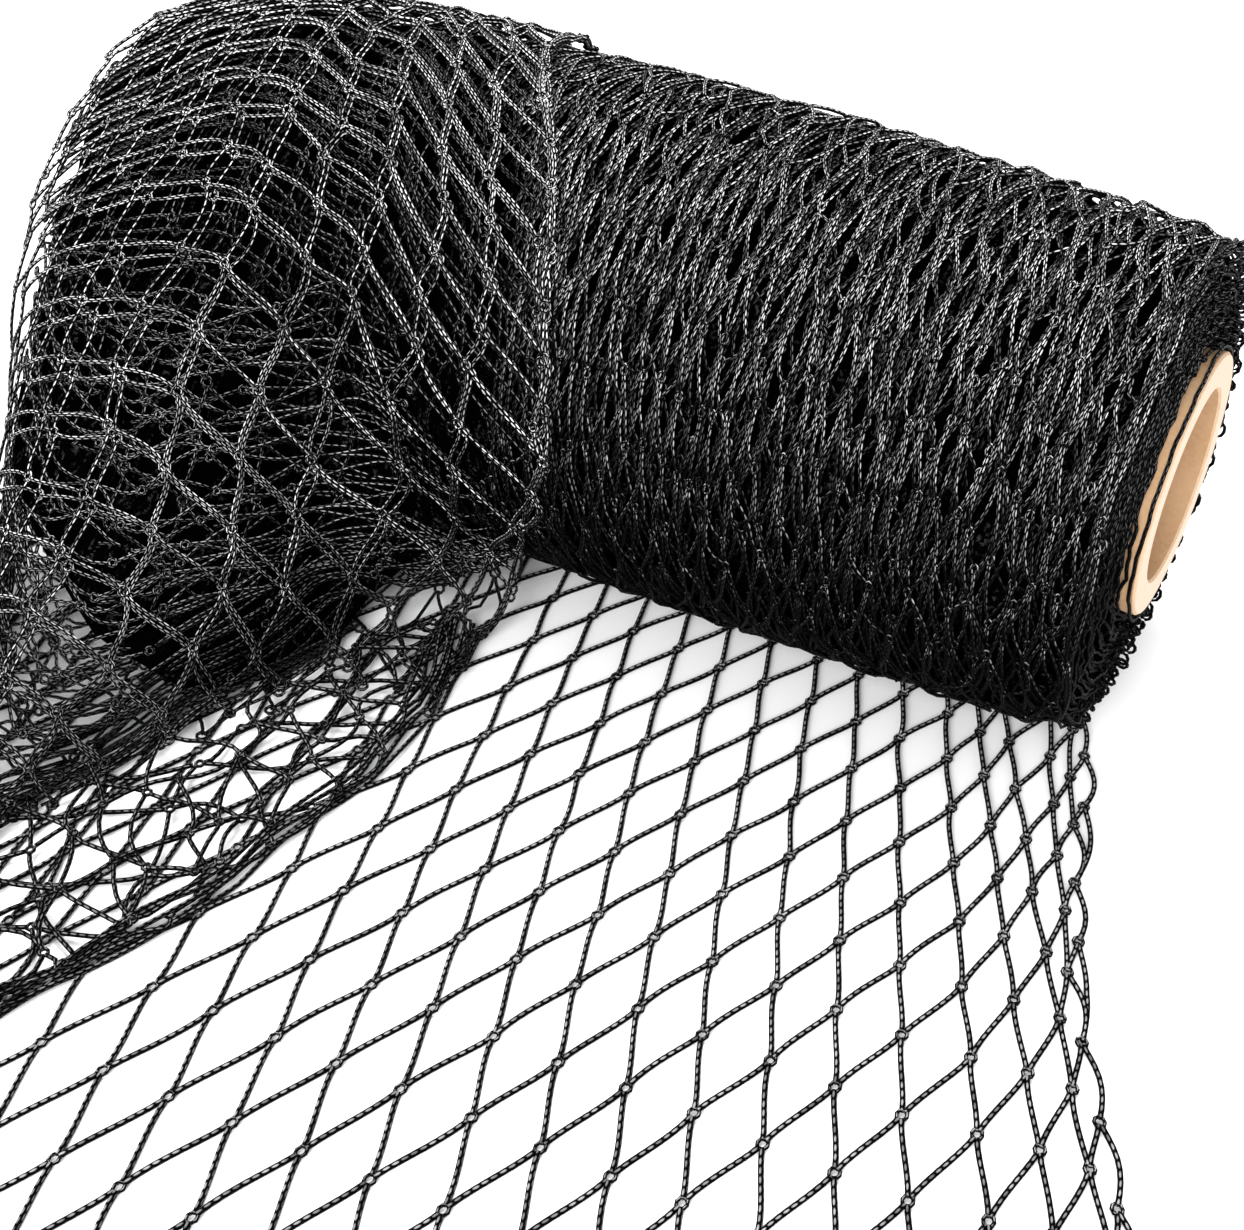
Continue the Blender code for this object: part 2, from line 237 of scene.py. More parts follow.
# Camera and light
CAMERA_PLACE = (0.20675, -0.38104, 0.34303)
CAMERA_YAW = -30.281             # degrees, from +Y towards +X
CAMERA_PITCH = -41.051           # degrees, down
CAMERA_LENS = 50.71              # mm, on a sensor 36 mm wide


# ---------------------------------------------------------------- curves, surfaces, objects

def ramp(value, start, end):
    """0 up to start, 1 from end on, and evenly between."""
    return np.clip((value - start) / (end - start), 0, 1)


def column_of(rows, name):
    return [getattr(row, name) for row in rows]


def read_straight(rows, at, key, column):
    """A table's column at any place, straight from row to row."""
    return np.interp(at, column_of(rows, key), column_of(rows, column))


def read_table(rows, at, key, column):
    """A smooth curve through a table's column, held level past its first and last row."""
    places, values = column_of(rows, key), column_of(rows, column)
    at = min(max(at, places[0]), places[-1])
    i = max(k for k in range(len(rows) - 1) if places[k] <= at)

    def slope(k):
        low, high = max(k - 1, 0), min(k + 1, len(rows) - 1)
        return (values[high] - values[low]) / (places[high] - places[low])

    span = places[i + 1] - places[i]
    t = (at - places[i]) / span
    rise = values[i + 1] - values[i]
    pull = t * (1 - t) * ((1 - t) * (slope(i) * span - rise) - t * (slope(i + 1) * span - rise))
    return values[i] + rise * t + pull


def drape_section(row_x):
    """Points (y, z) of the loosened turn where it crosses the roll at row_x, from back to front."""
    radius, leave, crown, flare, foot, front = (
        read_table(DRAPE_SECTIONS, row_x, "x", column) for column in DrapeRow._fields[1:])
    start, end = math.radians(DRAPE_BACK_DEG), math.radians(leave)
    line = []
    for step in range(SECTION_STEPS):
        angle = start + (end - start) * step / SECTION_STEPS
        line.append((-radius * math.sin(angle), AXIS_HEIGHT + radius * math.cos(angle)))
    y0, z0 = -radius * math.sin(end), AXIS_HEIGHT + radius * math.cos(end)
    reach = math.hypot(foot - y0, DRAPE_LOW - z0)
    y1, z1 = y0 - crown * reach * math.cos(end), z0 - crown * reach * math.sin(end)
    y2, z2 = foot + flare * reach, DRAPE_LOW
    for step in range(SECTION_STEPS):
        t = step / SECTION_STEPS
        a, b, c, d = (1 - t) ** 3, 3 * t * (1 - t) ** 2, 3 * t * t * (1 - t), t ** 3
        line.append((a * y0 + b * y1 + c * y2 + d * foot, a * z0 + b * z1 + c * z2 + d * DRAPE_LOW))
    for step in range(SECTION_STEPS + 1):
        line.append((foot + (front - foot) * step / SECTION_STEPS, DRAPE_LOW))
    return line


def drape_point(across, y, z):
    """Moves a section's point to its place between the right edge and the left one, and adds
    the slack net's waves."""
    right = read_table(DRAPE_RIGHT, y, "y", "x")
    x = right + (read_table(DRAPE_LEFT, y, "y", "x") - right) * across
    if y < 0:
        high, near_roll = ramp(z, *SLIDE_LIFT), ramp(y, *SLIDE_NEAR_Y)
        slide = read_table(EDGE_SLIDE, z, "z", "x") * (high + (1 - high) * near_roll)
        x = x + slide * ramp(across, SLIDE_SHARE, 0)
    slack = ramp(y, RIPPLE_START, RIPPLE_START - RIPPLE_GROWTH)
    wave = math.sin(2 * math.pi * (x / RIPPLE_ACROSS + y / RIPPLE_AHEAD))
    return x, y, z + RIPPLE * slack * (1 + wave)


def unit(vectors):
    return vectors / np.maximum(np.linalg.norm(vectors, axis=-1, keepdims=True), 1e-12)


def add_object(name, data):
    thing = bpy.data.objects.new(name, data)
    bpy.context.scene.collection.objects.link(thing)
    return thing


def add_mesh(name, points, faces, material):
    mesh = bpy.data.meshes.new(name)
    mesh.from_pydata(points.reshape(-1, 3).tolist(), [], faces.reshape(-1, 4).tolist())
    mesh.shade_smooth()
    mesh.materials.append(material)
    return add_object(name, mesh)


class Surface:
    """A grid of points that can be read at any place, with its normals. foot holds, for each of
    its columns, the share v at which it comes down to the floor."""

    def __init__(self, points, foot):
        self.points, self.foot = points, foot
        along_u, along_v = np.gradient(points, axis=(0, 1))
        self.normals = unit(np.cross(along_u, along_v))

    def read(self, grid, u, v):
        rows, columns = grid.shape[:2]
        a = np.clip(u * (rows - 1), 0, rows - 1.0001)
        b = np.clip(v * (columns - 1), 0, columns - 1.0001)
        i, j = a.astype(int), b.astype(int)
        s, t = (a - i)[..., None], (b - j)[..., None]
        near = grid[i, j] * (1 - t) + grid[i, j + 1] * t
        far = grid[i + 1, j] * (1 - t) + grid[i + 1, j + 1] * t
        return near * (1 - s) + far * s

    def at(self, u, v, lift=0.0):
        normals = unit(self.read(self.normals, u, v))
        points = self.read(self.points, u, v) + normals * np.asarray(lift)[..., None]
        return points, normals

    def foot_at(self, u):
        return np.interp(u, np.linspace(0, 1, len(self.foot)), self.foot)


def resample(line, count):
    """Points at even distances along a line."""
    line = np.array(line)
    lengths = np.concatenate([[0], np.cumsum(np.linalg.norm(np.diff(line, axis=0), axis=1))])
    at = np.linspace(0, lengths[-1], count)
    return np.stack([np.interp(at, lengths, line[:, k]) for k in range(line.shape[1])], axis=1)


def make_drape_surface(columns=45, rows=150):
    """The loosened turn: u from its right edge to its left one, v from its back to its front."""
    left, right = DRAPE_SECTIONS[0].x, DRAPE_SECTIONS[-1].x
    grid = np.zeros((columns, rows, 3))
    foot = []
    for i in range(columns):
        across = i / (columns - 1)
        line = drape_section(right + (left - right) * across)
        lengths = [math.dist(a, b) for a, b in zip(line, line[1:])]
        foot.append(sum(lengths[:2 * SECTION_STEPS]) / sum(lengths))
        grid[i] = [drape_point(across, y, z) for y, z in resample(line, rows)]
    return Surface(grid, np.array(foot))


# ---------------------------------------------------------------- twine

class Twine:
    """Collects bars and knots of twine and makes one mesh of them. The map "twine" counts
    stitches along the twine (U) and turns round it (V, a quarter turn at the top)."""

    def __init__(self, name, seed, sides=TWINE_SIDES):
        self.name, self.sides = name, sides
        self.chance = np.random.default_rng(seed)
        self.points, self.faces, self.corners = [], [], []
        self.count = 0

    def add(self, lines, normals, radius, closed=False):
        """Tubes along lines, an array of n lines of k points. Open ones get caps."""
        n, k = lines.shape[:2]
        lines = lines.copy()
        lines[..., 2] = np.maximum(lines[..., 2], radius)
        if closed:
            ahead, behind = np.roll(lines, -1, axis=1), np.roll(lines, 1, axis=1)
            tangents = unit(ahead - behind)
        else:
            tangents = unit(np.gradient(lines, axis=1))
        across = unit(np.cross(tangents, normals))
        up = np.cross(across, tangents)
        angle = 2 * math.pi * (np.arange(self.sides) / self.sides)[:, None]
        ring = across[:, :, None] * np.cos(angle) + up[:, :, None] * np.sin(angle)
        self.points.append((lines[:, :, None] + radius * ring).reshape(-1, 3))

        steps = np.linalg.norm(np.diff(lines, axis=1), axis=2)
        far = np.concatenate([np.zeros((n, 1)), np.cumsum(steps, axis=1)], axis=1) / STITCH
        far += self.chance.uniform(0, 40, (n, 1)).round(2)
        number = np.arange(n * k * self.sides).reshape(n, k, self.sides) + self.count
        spans = k if closed else k - 1
        i, j = np.meshgrid(np.arange(spans), np.arange(self.sides), indexing="ij")
        i2, j2 = (i + 1) % k, (j + 1) % self.sides
        quads = [number[:, i, j], number[:, i2, j], number[:, i2, j2], number[:, i, j2]]
        here, on = far[:, i], far[:, i2]
        if closed:
            on = np.where(i2 == 0, here + 1, on)
        low, high = (np.broadcast_to(side / self.sides, on.shape) for side in (j, j + 1))
        self.add_faces(quads, [here, low, on, low, on, high, here, high])
        if not closed:
            self.cap(number[:, 0, :], far[:, 0])
            self.cap(number[:, -1, ::-1], far[:, -1])
        self.count += n * k * self.sides

    def add_faces(self, faces, corners):
        self.faces.append(np.stack(faces, axis=-1).reshape(-1, 4))
        self.corners.append(np.stack(corners, axis=-1).reshape(-1, 8))

    def cap(self, rings, far):
        """Closes a ring of five with a triangle and a quad, or a ring of four with a quad. A
        triangle is written as a quad whose last corner is there twice."""
        for ends in ((0, 3, 4, 4), (0, 1, 2, 3))[5 - self.sides:]:
            self.add_faces([rings[:, end] for end in ends], [far, far * 0 + 0.5] * 4)

    def add_knots(self, centres, normals, along, wide, long):
        """Long rings, each where two strands link."""
        angle = 2 * math.pi * np.arange(KNOT_STEPS) / KNOT_STEPS
        across = unit(np.cross(normals, along))
        along = unit(np.cross(across, normals))
        lines = (centres[:, None] + along[:, None] * (long * np.cos(angle))[None, :, None]
                 + across[:, None] * (wide * np.sin(angle))[None, :, None])
        self.add(lines, np.broadcast_to(normals[:, None], lines.shape), KNOT_R, closed=True)

    def make(self, material):
        points = np.concatenate(self.points)
        faces = np.concatenate(self.faces)
        corners = np.concatenate(self.corners).reshape(-1, 4, 2)
        triangle = faces[:, 2] == faces[:, 3]
        sizes = np.where(triangle, 3, 4)
        starts = np.concatenate([[0], np.cumsum(sizes)[:-1]])
        used = np.ones(faces.shape, dtype=bool)
        used[triangle, 3] = False
        mesh = bpy.data.meshes.new(self.name)
        mesh.vertices.add(len(points))
        mesh.vertices.foreach_set("co", points.astype(np.float32).ravel())
        mesh.loops.add(int(sizes.sum()))
        mesh.loops.foreach_set("vertex_index", faces[used].astype(np.int32))
        mesh.polygons.add(len(faces))
        mesh.polygons.foreach_set("loop_start", starts.astype(np.int32))
        mesh.update(calc_edges=True)
        mesh.shade_smooth()
        layer = mesh.uv_layers.new(name="twine")
        layer.data.foreach_set("uv", corners[used].astype(np.float32).ravel())
        mesh.validate()
        mesh.materials.append(material)
        return add_object(self.name, mesh)


# How a net's bars are drawn: steps, ease into the knots, random shifts and bows, radius, how round
# the meshes' front ends are, and which way the rows of stitches lean
NetLook = namedtuple("NetLook", "steps ease jitter bow radius round lean")
STRAIGHT_UP = (0.0, 0.0, 0.0)


class Lattice:
    """A net of knots at whole (c, q) whose sum is even, laid by place(c, q) and kept where
    keep(c, q) says."""

    def __init__(self, twine, place, keep, columns, rows, look):
        self.twine, self.place, self.look = twine, place, look
        self.low = np.array([columns[0], rows[0]])
        c, q = np.meshgrid(np.arange(columns[0], columns[1] + 1),
                           np.arange(rows[0], rows[1] + 1), indexing="ij")
        self.shift = twine.chance.normal(0, 1, (3, *c.shape)).clip(-2, 2)
        self.alive = ((c + q) % 2 == 0) & keep(c, q)

    def has(self, c, q):
        i, j = c - self.low[0], q - self.low[1]
        inside = (i >= 0) & (j >= 0) & (i < self.alive.shape[0]) & (j < self.alive.shape[1])
        return inside & self.alive[np.where(inside, i, 0), np.where(inside, j, 0)]

    def knots(self):
        i, j = np.nonzero(self.alive)
        return i + self.low[0], j + self.low[1]

    def shifts(self, c, q):
        return self.shift[:, c - self.low[0], q - self.low[1]] * self.look.jitter

    def lay(self, c, q, shift):
        """Places on the surface, moved by a shift across the net, along it and off it."""
        points, normals = self.place(c, q)
        before, _ = self.place(c, q - 0.05)
        along = unit(points - before)
        side = unit(np.cross(normals, along))
        sideways, onward, off = shift[..., None]
        points = points + side * sideways + along * onward
        return points + normals * np.abs(off * 0.5), normals, along

    def draw_lines(self, c, q, shift):
        points, normals, _ = self.lay(c, q, shift)
        self.twine.add(points, unit(normals + self.look.lean), self.look.radius)

    def bars(self, across, swell=None):
        """The bars from each knot to the one in the next row. swell bows some sideways."""
        look = self.look
        c, q = self.knots()
        there = self.has(c + across, q + 1)
        c, q = c[there], q[there]
        t = np.linspace(TRIM, 1 - TRIM, look.steps + 1)[None, :]
        eased = t + look.ease * (t * t * (3 - 2 * t) - t)
        eased = eased + look.round * (t ** 3 - eased)
        hump = np.sin(math.pi * t)
        bow = self.twine.chance.normal(0, look.bow, (3, len(c), 1)).clip(-2 * look.bow, 2 * look.bow)
        a, b = self.shifts(c, q), self.shifts(c + across, q + 1)
        shift = a[:, :, None] * (1 - t) + b[:, :, None] * t + bow * hump
        if swell is not None:
            shift[0] += swell(c, q)[:, None] * hump
        self.draw_lines(c[:, None] + across * eased, q[:, None] + t, shift)

    def edge(self, side, bulge):
        """Bars down a side edge, where the next column ends, bowed outward by bulge."""
        c, q = self.knots()
        there = ~self.has(c + side, q + 1) & self.has(c, q + 2)
        c, q = c[there], q[there]
        t = np.linspace(TRIM / 2, 1 - TRIM / 2, 2 * self.look.steps + 1)[None, :]
        swing = bulge * np.sin(math.pi * t) * (1 + self.twine.chance.normal(0, 0.15, (len(c), 1)))
        shift = np.stack([side * swing, 0 * swing, 0 * swing])
        self.draw_lines(c[:, None] + 0 * t, q[:, None] + 2 * t, shift)

    def draw(self, swell=None, wide=KNOT_WIDE, long=KNOT_LONG):
        self.bars(1, swell)
        self.bars(-1)
        c, q = self.knots()
        points, normals, along = self.lay(c.astype(float), q.astype(float), self.shifts(c, q))
        self.twine.add_knots(points, normals, along, wide, long)

    def make(self, material, *nodes):
        """Makes the net a piece, and says how many knots it has."""
        net = place_on_roll(self.twine.make(material), *nodes)
        return net, np.count_nonzero(self.alive)


# ---------------------------------------------------------------- materials

class Nodes:
    """Short words for building a material's nodes."""

    def __init__(self, name):
        self.material = bpy.data.materials.new(name)
        self.material.use_nodes = True
        self.tree = self.material.node_tree
        self.shader = self.tree.nodes["Principled BSDF"]

    def feed(self, socket, value):
        """Links or sets an input. A colour is given without its alpha."""
        if isinstance(value, bpy.types.NodeSocket):
            self.tree.links.new(value, socket)
        elif socket.type == "RGBA":
            socket.default_value = (*value, 1)
        else:
            socket.default_value = value

    def node(self, kind, inputs=None, **settings):
        """A new node, its settings, and what goes into its inputs, by their names or numbers."""
        made = self.tree.nodes.new("ShaderNode" + kind)
        for name, value in settings.items():
            setattr(made, name, value)
        for name, value in (inputs or {}).items():
            self.feed(made.inputs[name], value)
        return made

    def math(self, operation, a, b=0.0):
        return self.node("Math", {0: a, 1: b}, operation=operation).outputs[0]

    def split(self, vector):
        return self.node("SeparateXYZ", {0: vector}).outputs

    def place(self):
        return self.node("TexCoord").outputs["Object"]

    def normal(self):
        return self.node("NewGeometry").outputs["Normal"]

    def noise(self, vector, scale, detail=3.0, rough=0.5):
        inputs = {"Vector": vector, "Scale": scale, "Detail": detail, "Roughness": rough}
        return self.node("TexNoise", inputs).outputs["Fac"]

    def band(self, value, low, high, to_low=0.0, to_high=1.0, kind="SMOOTHSTEP"):
        inputs = {"Value": value, "From Min": low, "From Max": high, "To Min": to_low, "To Max": to_high}
        return self.node("MapRange", inputs, interpolation_type=kind).outputs["Result"]

    def mix(self, share, a, b):
        return self.node("Mix", {"Factor": share, "A": a, "B": b}, data_type="RGBA").outputs["Result"]

    def shade(self, colour, rough, specular=0.5):
        inputs = {"Base Color": colour, "Roughness": rough, "Specular IOR Level": specular}
        for name, value in inputs.items():
            self.feed(self.shader.inputs[name], value)

    def bump(self, height, strength, distance):
        made = self.node("Bump", {"Height": height, "Strength": strength, "Distance": distance})
        self.feed(self.shader.inputs["Normal"], made.outputs["Normal"])


# Painted shade: down from one height to another, the stitches' painted highlights sink to this
# share of their paleness
Fade = namedtuple("Fade", "share low high")
NEAR_FLOOR = Fade(0.12, 4 * MM, 38 * MM)
DOWN_FRONT = Fade(0.12, 30 * MM, 130 * MM)


def make_twine_material(name, light, turn=0.0, up=(-0.15, 0.75), painted_shade=None):
    """Black twine with rows of pale stitches down its length, which are painted highlights on the
    crowns of its twist: palest where they face up, as painted top light, uneven at random, and,
    where given, darker lower down as painted shade. turn sets which part of the stitch pattern
    lies on top, and up the range over which the painted top light grows."""
    half_long, half_wide, slant = 0.44, 0.32, 0.25      # of a stitch, in its cell of the pattern
    nodes = Nodes(name)
    stitches, turns, _ = nodes.split(nodes.node("UVMap", uv_map="twine").outputs["UV"])
    rows = nodes.math("MULTIPLY", nodes.math("ADD", turns, turn), 4.0)
    across = nodes.math("SUBTRACT", nodes.math("FRACT", rows), 0.5)
    along = nodes.math("ADD", stitches, nodes.math("MULTIPLY", nodes.math("FLOOR", rows), 0.5))
    along = nodes.math("SUBTRACT", nodes.math("FRACT", along), 0.5)
    along = nodes.math("ADD", along, nodes.math("MULTIPLY", across, slant))
    length = nodes.math("POWER", nodes.math("DIVIDE", along, half_long), 2.0)
    width = nodes.math("POWER", nodes.math("DIVIDE", across, half_wide), 2.0)
    dash = nodes.band(nodes.math("SQRT", nodes.math("ADD", length, width)), 1.0, 0.6)
    # The painted highlights are uneven at random
    uneven_highlight = nodes.band(nodes.noise(nodes.place(), 170.0), 0.34, 0.66, 0.32, 1.0)
    # Painted top light: stitches that face up are paler
    painted_top_light = nodes.band(nodes.split(nodes.normal())["Z"], *up, 0.06, 1.0)
    painted_highlight = nodes.math("MULTIPLY", nodes.math("MULTIPLY", dash, uneven_highlight), painted_top_light)
    if painted_shade:
        # Painted shade: the stitches darken lower down, towards the floor
        height = nodes.split(nodes.place())["Z"]
        painted_low_shade = nodes.band(height, painted_shade.low, painted_shade.high, painted_shade.share, 1.0, "LINEAR")
        painted_highlight = nodes.math("MULTIPLY", painted_highlight, painted_low_shade)
    # The pale stitches are painted highlights, mixed over the black twine
    colour = nodes.mix(painted_highlight, (0.0008, 0.0008, 0.0009), (light, light, light * 1.01))
    nodes.shade(colour, nodes.band(dash, 0.0, 1.0, 0.6, 0.4), 0.015)
    nodes.bump(dash, 0.9, 0.25 * MM)
    return nodes.material


def make_body_material():
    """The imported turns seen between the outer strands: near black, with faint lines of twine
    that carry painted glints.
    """
    nodes = Nodes("packed_turns")
    stretched = nodes.node("Mapping", {"Vector": nodes.place(), "Scale": (1.0, 0.25, 0.25)})
    lines = nodes.noise(stretched.outputs[0], 420.0, 4.0, 0.6)
    specks = nodes.noise(nodes.place(), 900.0, 2.0)
    glint = nodes.math("MULTIPLY", nodes.band(lines, 0.52, 0.66), nodes.band(specks, 0.5, 0.62))
    nodes.shade(nodes.mix(glint, (0.0004, 0.0004, 0.0005), (0.025, 0.025, 0.026)), 0.75, 0.0)
    nodes.bump(lines, 1.0, 1.2 * MM)
    return nodes.material


def make_cardboard_material():
    """The core's tan wall and its paler cut ends, told apart by the normal."""
    nodes = Nodes("cardboard")
    end = nodes.band(nodes.math("ABSOLUTE", nodes.split(nodes.normal())["X"]), 0.6, 0.9)
    fibre = nodes.noise(nodes.place(), 700.0, 5.0, 0.65)
    cloud = nodes.band(nodes.noise(nodes.place(), 45.0), 0.35, 0.75, 0.0, 0.35)
    wall = nodes.mix(fibre, (0.36, 0.20, 0.095), (0.56, 0.36, 0.20))
    wall = nodes.mix(cloud, wall, (0.62, 0.42, 0.25))
    face = nodes.mix(fibre, (0.54, 0.38, 0.27), (0.71, 0.56, 0.44))
    nodes.shade(nodes.mix(end, wall, face), 0.86)
    nodes.bump(fibre, 0.5, 0.3 * MM)
    return nodes.material


# ---------------------------------------------------------------- pieces

def place_on_roll(thing, *nodes):
    """Every piece rides on the one body. It may stand for nodes of the part."""
    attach(thing, "root")
    if nodes:
        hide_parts(*nodes)
    return thing


def flat_points(x, y, z):
    """Points near the floor, and the way up from them."""
    points = np.stack(np.broadcast_arrays(x, y, z), axis=-1)
    return points, np.broadcast_to((0.0, 0.0, 1.0), points.shape)


def apron_place(c, q):
    """The laid-out sheet's knots: even meshes that open a little towards the front. They are
    drawn together towards the right edge, most of all where they meet the roll."""
    c = np.asarray(c, dtype=float)
    even = np.maximum(c, APRON_EVEN)
    drawn, growth, back, turn = (
        read_straight(APRON_DRAWN, c - q, "gather", column) for column in Drawn._fields[1:])
    y = -(APRON_Y + APRON_ROW * q + APRON_ROW_GROWTH * q * q) + APRON_SLANT * even * q
    y = y + back + turn * q
    x = APRON_X + even * (APRON_COLUMN + APRON_COLUMN_GROWTH * q) - drawn - growth * np.clip(q, -3, 2)
    x = x + ramp(c, APRON_EVEN, APRON_LAST) * (APRON_LEFT - x)
    return flat_points(x * MM, y * MM, LAID_R + 0.1 * MM)


def apron_keep(c, q):
    """The sheet's right edge is cut on the bar, and steps in where it meets the roll. Only its
    outermost knots reach a row further in under the roll."""
    limit = np.where(q <= -2, 12, np.where(q <= 1, 10, 8))
    points, _ = apron_place(c, q)
    inside = points[..., 0] < APRON_RIGHT * MM
    return (c - q <= limit) & inside & ((q > APRON_ROWS[0]) | (c - q > 10))


def apron_swell(c, q):
    """The outermost bars bow outward."""
    return 2.4 * MM * ~apron_keep(c + 2, q)


def make_apron(material):
    twine = Twine("apron_net", seed=11)
    look = NetLook(7, 0.34, 0.3 * MM, 0.3 * MM, LAID_R, 0.0, (0.0, -0.7, 0.0))
    lattice = Lattice(twine, apron_place, apron_keep, (APRON_LAST, 17), APRON_ROWS, look)
    lattice.draw(apron_swell, 1.1 * KNOT_WIDE, 1.25 * KNOT_LONG)
    lattice.edge(1, APRON_BULGE)
    lattice.edge(-1, APRON_BULGE)
    return lattice.make(material, "net_apron")


def roll_place(layer):
    """Places on the winding: c in half meshes along the roll, q in bars round it. Waves that
    differ from layer to layer pull the strands out of line and into bundles."""
    across = layer.across

    def place(c, q):
        turn = (q + layer.round) * 2 * math.pi / ROUND
        tight = np.interp(np.degrees(turn) % 360, TIGHT_BAND_DEG, (0, 1, 1, 0))
        sink = layer.sink + (layer.tight_sink - layer.sink) * tight
        x = (c + across) * layer.width + 4 * MM * np.sin(turn + 4 * across)
        x = x + 1.3 * MM * np.sin(0.23 * c + 3 * turn + 7 * across) * np.cos(0.11 * c + 5 * across)
        x = x - 0.65 * MM * np.sin(x / FURROW + 2 * turn + 1.2 * np.sin(x / (31 * MM) + 3 * turn))
        x = np.clip(x, -WOUND_HALF - 3 * MM, WOUND_HALF + 3 * MM)
        radius = read_straight(WOUND_OUTLINE, x, "x", "radius") - sink
        angle = turn + 0.09 * np.sin(x / (19 * MM) + 6 * across)
        angle = angle + 0.06 * np.sin(x / (6.3 * MM) + 3 * across)
        normals = np.stack([0 * x, -np.sin(angle), np.cos(angle)], axis=-1)
        points = np.stack([x, -radius * np.sin(angle), AXIS_HEIGHT + radius * np.cos(angle)], axis=-1)
        points[..., 2] = np.maximum(points[..., 2], TWINE_R)
        return points, normals
    return place


def roll_keep(width, whole):
    """Leaves out the strands that the loosened turn hides, over the roll's top and front, and,
    of the inner layers, those at the back."""
    def keep(c, q):
        angle = (q % ROUND) * 360 / ROUND
        y = -max(column_of(WOUND_OUTLINE, "radius")) * np.sin(np.radians(angle))
        edge = read_straight(DRAPE_RIGHT, y, "y", "x")
        open_end = c * width > np.where((angle < 100) | (angle > 315), edge - 14 * MM, -60 * MM)
        if whole:
            return open_end | ((angle > 135) & (angle < 300))
        return open_end & ((angle < 170) | (angle > 315))
    return keep


def make_wound_turns(index, layer, material):
    whole = index < WHOLE_LAYERS
    loose = layer.width / (5 * MM)
    last = round(WOUND_HALF / layer.width)
    twine = Twine(f"wound_turns_{index}", sides=4, seed=20 + index)
    look = NetLook(4, 0.5, 1.2 * loose * MM, 0.9 * loose * MM, TWINE_R, 0.6, STRAIGHT_UP)
    place, keep = roll_place(layer), roll_keep(layer.width, whole)
    lattice = Lattice(twine, place, keep, (-last, last), (0, ROUND), look)
    lattice.shift[:, :, -1] = lattice.shift[:, :, 0]
    lattice.draw(wide=0.7 * KNOT_WIDE, long=1.3 * KNOT_LONG)
    if whole:
        lattice.edge(1, 1.2 * MM)
        lattice.edge(-1, 1.2 * MM)
    lattice.make(material)


def end_height(radius):
    """How far out the turns stand at one end of the roll, and how far up they sit there."""
    bulge = read_straight(TURN_EDGES[::-1], radius, "radius", "bulge")
    rise = CORE_RISE * ramp(radius, TURN_EDGES[0].radius, TURN_EDGES[-1].radius)
    return WOUND_HALF + bulge, rise


def make_end_turns(side, material):
    """The edges of the turns at one end of the roll: strands that run round it, strands on the
    core, nearly at its cut end, and loops that stand out from the turns' edges."""
    twine = Twine("end_turns_right" if side > 0 else "end_turns_left", sides=4, seed=30 + side)

    def steps_round(count):
        return np.linspace(0, 2 * math.pi, count + 1)[:-1]

    def add_ring(angle, x, radius, rise):
        z = AXIS_HEIGHT + rise + radius * np.cos(angle)
        points = np.stack([side * x, -radius * np.sin(angle), z], axis=-1)
        normals = np.broadcast_to((float(side), 0.0, 0.0), points.shape)
        twine.add(points[None], normals[None], INNER_R, closed=True)

    def sway(angle, size):
        waves = zip((0.5, 0.4, 0.35, 0.3), (3, 7, 16, 31), twine.chance.uniform(0, 2 * math.pi, 4))
        return size * sum(share * np.sin(count * angle + start) for share, count, start in waves)

    for radius in np.arange(*RING_RADII, RING_PITCH):
        angle = steps_round(round(2 * math.pi * radius / (2.9 * MM)))
        base, rise = end_height(radius)
        add_ring(angle, base - 0.3 * MM + sway(angle, 0.9 * MM), radius + sway(angle, 0.8 * MM), rise)
    for inset in CORE_STRAND_INSETS:
        angle = steps_round(90)
        radius = CORE_OUTER_R + 1.1 * MM + 0.3 * MM * (1 + np.sin(9 * angle + 4 * inset / MM))
        add_ring(angle, CORE_END - inset + sway(angle, min(0.35 * inset, 0.9 * MM)), radius, CORE_RISE)
    for radius in LOOP_RADII:
        loops = round(2 * math.pi * radius / LOOP_PITCH)
        turn = steps_round(11 * loops)
        base, rise = end_height(radius)
        start = twine.chance.uniform(0, 2 * math.pi)
        phase = loops * turn + start + 0.9 * np.sin(5 * turn + start)
        size = 1 + 0.35 * np.sin(7 * turn + 2 * start) * np.sin(11 * turn + start)
        size = size * np.interp(np.degrees(turn), (0, 30, 130, 160, 340), (0.8, 0.25, 0.25, 1.0, 1.0))
        out = size * LOOP_OUT * (0.5 + 0.5 * np.cos(phase)) - 0.6 * MM
        angle = turn - size * LOOP_CURL * np.sin(phase) / radius
        tilt = 0.7 * ramp(radius, 50 * MM, 63 * MM)
        reach = radius + out * math.sin(tilt) + sway(turn, 0.6 * MM)
        add_ring(angle, base + out * math.cos(tilt), reach, rise)
    place_on_roll(twine.make(material))


def make_wound_body(material, steps=96):
    """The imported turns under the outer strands, a loft of rings from one end to the other and
    back through the bore."""
    rings = []
    for x in np.linspace(-WOUND_HALF, WOUND_HALF, 57):
        rings.append((x, read_table(WOUND_OUTLINE, x, "x", "radius") - BODY_SINK, 0.0))
    right = []
    for edge in TURN_EDGES:
        base, rise = end_height(edge.radius)
        right.append((base - 1.5 * MM, edge.radius, rise))
    rings += right + [(-x, radius, rise) for x, radius, rise in right[::-1]]
    x, radius, rise = np.array(rings).T[..., None]
    angle = 2 * math.pi * np.arange(steps) / steps
    z = np.maximum(AXIS_HEIGHT + rise + radius * np.cos(angle), 0.4 * MM)
    points = np.stack([x + 0 * z, -radius * np.sin(angle), z], axis=-1)
    number = np.arange(z.size).reshape(z.shape)
    ahead = np.roll(number, -1, axis=0)
    faces = np.stack([number, np.roll(number, -1, axis=1), np.roll(ahead, -1, axis=1), ahead], axis=-1)
    place_on_roll(add_mesh("wound_body", points, faces, material), "wound_net")


